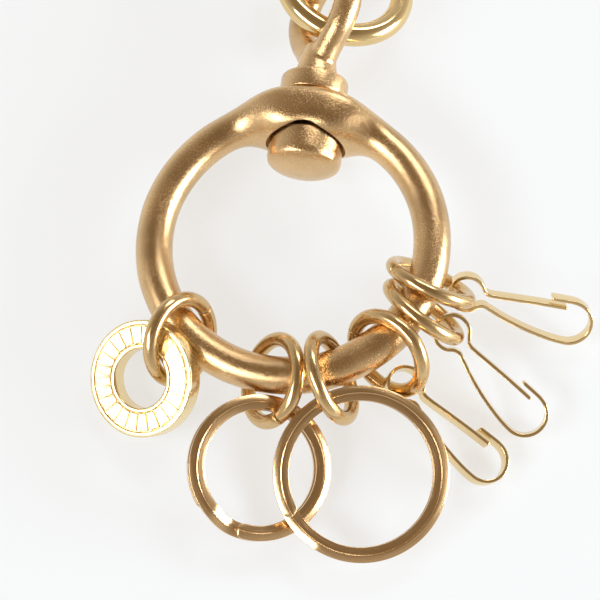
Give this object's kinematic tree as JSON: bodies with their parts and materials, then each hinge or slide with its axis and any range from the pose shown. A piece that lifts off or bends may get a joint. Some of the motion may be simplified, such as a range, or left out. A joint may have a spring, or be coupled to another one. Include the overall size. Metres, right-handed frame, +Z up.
{
  "type": "key ring",
  "caption": "Brass key holder: a cast ring with a swivel eye and chain link, carrying split key rings, snap clips and a round charm on jump rings.",
  "frame": {"origin": "the middle of the base of the bounding box, with the object lying flat", "axes": "+Z up from the surface it lies on, +Y towards the swivel and the chain link, +X to the right seen from above"},
  "size_m": [0.0888, 0.123, 0.0177],
  "materials": {
    "cast_brass": "tumbled satin casting",
    "wire_brass": "satin drawn wire",
    "split_ring_brass": "satin rolled wire",
    "polished_brass": "polished",
    "clip_brass": "bright pale gold strip",
    "charm_brass": "bright, with a plain relief"
  },
  "bodies": {
    "key_ring": {"main_ring": "cast_brass"},
    "swivel": {"swivel_eye": "cast_brass", "swivel_head": "cast_brass"},
    "chain_link": {"chain_link": "polished_brass"},
    "jump_a": {"jump_ring_a": "wire_brass"},
    "jump_b": {"jump_ring_b": "wire_brass"},
    "jump_c": {"jump_ring_c": "wire_brass"},
    "jump_d": {"jump_ring_d": "wire_brass"},
    "jump_e": {"jump_ring_e": "wire_brass"},
    "jump_f": {"jump_ring_f": "wire_brass"},
    "charm": {"charm": "charm_brass"},
    "small_split": {"split_ring_small": "split_ring_brass"},
    "large_split": {"split_ring_large": "split_ring_brass"},
    "clip_1": {"snap_clip_1_hook": "clip_brass"},
    "latch_1": {"snap_clip_1_latch": "clip_brass"},
    "clip_2": {"snap_clip_2_hook": "clip_brass"},
    "latch_2": {"snap_clip_2_latch": "clip_brass"},
    "clip_3": {"snap_clip_3_hook": "clip_brass"},
    "latch_3": {"snap_clip_3_latch": "clip_brass"}
  },
  "joints": [
    {"name": "swivel_spin", "type": "hinge", "parent": "key_ring", "child": "swivel", "pos_m": [-0.00896, -0.00487, 0.00863], "axis": [0.13, 0.9914, 0.0121], "continuous": true},
    {"name": "link_swing", "type": "hinge", "parent": "swivel", "child": "chain_link", "pos_m": [-0.00352, 0.03813, 0.00889], "axis": [0.8965, -0.4242, -0.1277], "range_deg": [-90, 70]},
    {"name": "jump_a_swing", "type": "hinge", "parent": "key_ring", "child": "jump_a", "pos_m": [-0.02702, -0.02178, 0.00696], "axis": [0.6791, -0.7314, 0.063], "range_deg": [-65, 110]},
    {"name": "jump_b_swing", "type": "hinge", "parent": "key_ring", "child": "jump_b", "pos_m": [-0.01218, -0.02946, 0.00833], "axis": [0.9872, -0.1305, 0.0916], "range_deg": [0, 5]},
    {"name": "jump_c_swing", "type": "hinge", "parent": "key_ring", "child": "jump_c", "pos_m": [-0.00215, -0.02871, 0.00926], "axis": [0.9572, 0.2756, 0.0888], "range_deg": [-7, 0]},
    {"name": "jump_d_swing", "type": "hinge", "parent": "key_ring", "child": "jump_d", "pos_m": [0.00628, -0.02439, 0.01005], "axis": [0.7836, 0.617, 0.0727], "range_deg": [0, 150]},
    {"name": "jump_e_swing", "type": "hinge", "parent": "key_ring", "child": "jump_e", "pos_m": [0.01225, -0.01757, 0.0106], "axis": [0.5099, 0.859, 0.0473], "range_deg": [-12, 9]},
    {"name": "jump_f_swing", "type": "hinge", "parent": "key_ring", "child": "jump_f", "pos_m": [0.01433, -0.01311, 0.01079], "axis": [0.3307, 0.9432, 0.0307], "range_deg": [-7, 15]},
    {"name": "charm_swing", "type": "hinge", "parent": "jump_a", "child": "charm", "pos_m": [-0.03187, -0.02931, 0.0081], "axis": [-0.4575, 0.2524, 0.8526], "range_deg": [-7, 6]},
    {"name": "small_split_swing", "type": "hinge", "parent": "jump_b", "child": "small_split", "pos_m": [-0.01281, -0.03433, 0.00745], "axis": [-0.9489, 0.1018, 0.2987], "range_deg": [-90, 0]},
    {"name": "large_split_swing", "type": "hinge", "parent": "jump_c", "child": "large_split", "pos_m": [-0.00159, -0.03415, 0.01045], "axis": [-0.9456, -0.3247, -0.0201], "range_deg": [0, 18]},
    {"name": "clip_1_swing", "type": "hinge", "parent": "jump_f", "child": "clip_1", "pos_m": [0.02181, -0.01421, 0.00667], "axis": [-0.2111, 0.64, -0.7388], "range_deg": [-90, 55]},
    {"name": "latch_1_open", "type": "hinge", "parent": "clip_1", "child": "latch_1", "pos_m": [0.02517, -0.01371, 0.0073], "axis": [0.0464, 0.6499, -0.7586], "range_deg": [0, 12], "stiffness_Nm_per_rad": 0.05},
    {"name": "clip_2_swing", "type": "hinge", "parent": "jump_e", "child": "clip_2", "pos_m": [0.01976, -0.02235, 0.00804], "axis": [0.1343, 0.5209, -0.843], "range_deg": [-90, 4]},
    {"name": "latch_2_open", "type": "hinge", "parent": "clip_2", "child": "latch_2", "pos_m": [0.02176, -0.02326, 0.00782], "axis": [0.0954, 0.4171, -0.9038], "range_deg": [0, 12], "stiffness_Nm_per_rad": 0.05},
    {"name": "clip_3_swing", "type": "hinge", "parent": "jump_d", "child": "clip_3", "pos_m": [0.01081, -0.03158, 0.00622], "axis": [0.6354, -0.0951, 0.7663], "range_deg": [0, 4]},
    {"name": "latch_3_open", "type": "hinge", "parent": "clip_3", "child": "latch_3", "pos_m": [0.01346, -0.03208, 0.00566], "axis": [-0.1939, 0.069, -0.9786], "range_deg": [0, 12], "stiffness_Nm_per_rad": 0.05}
  ]
}
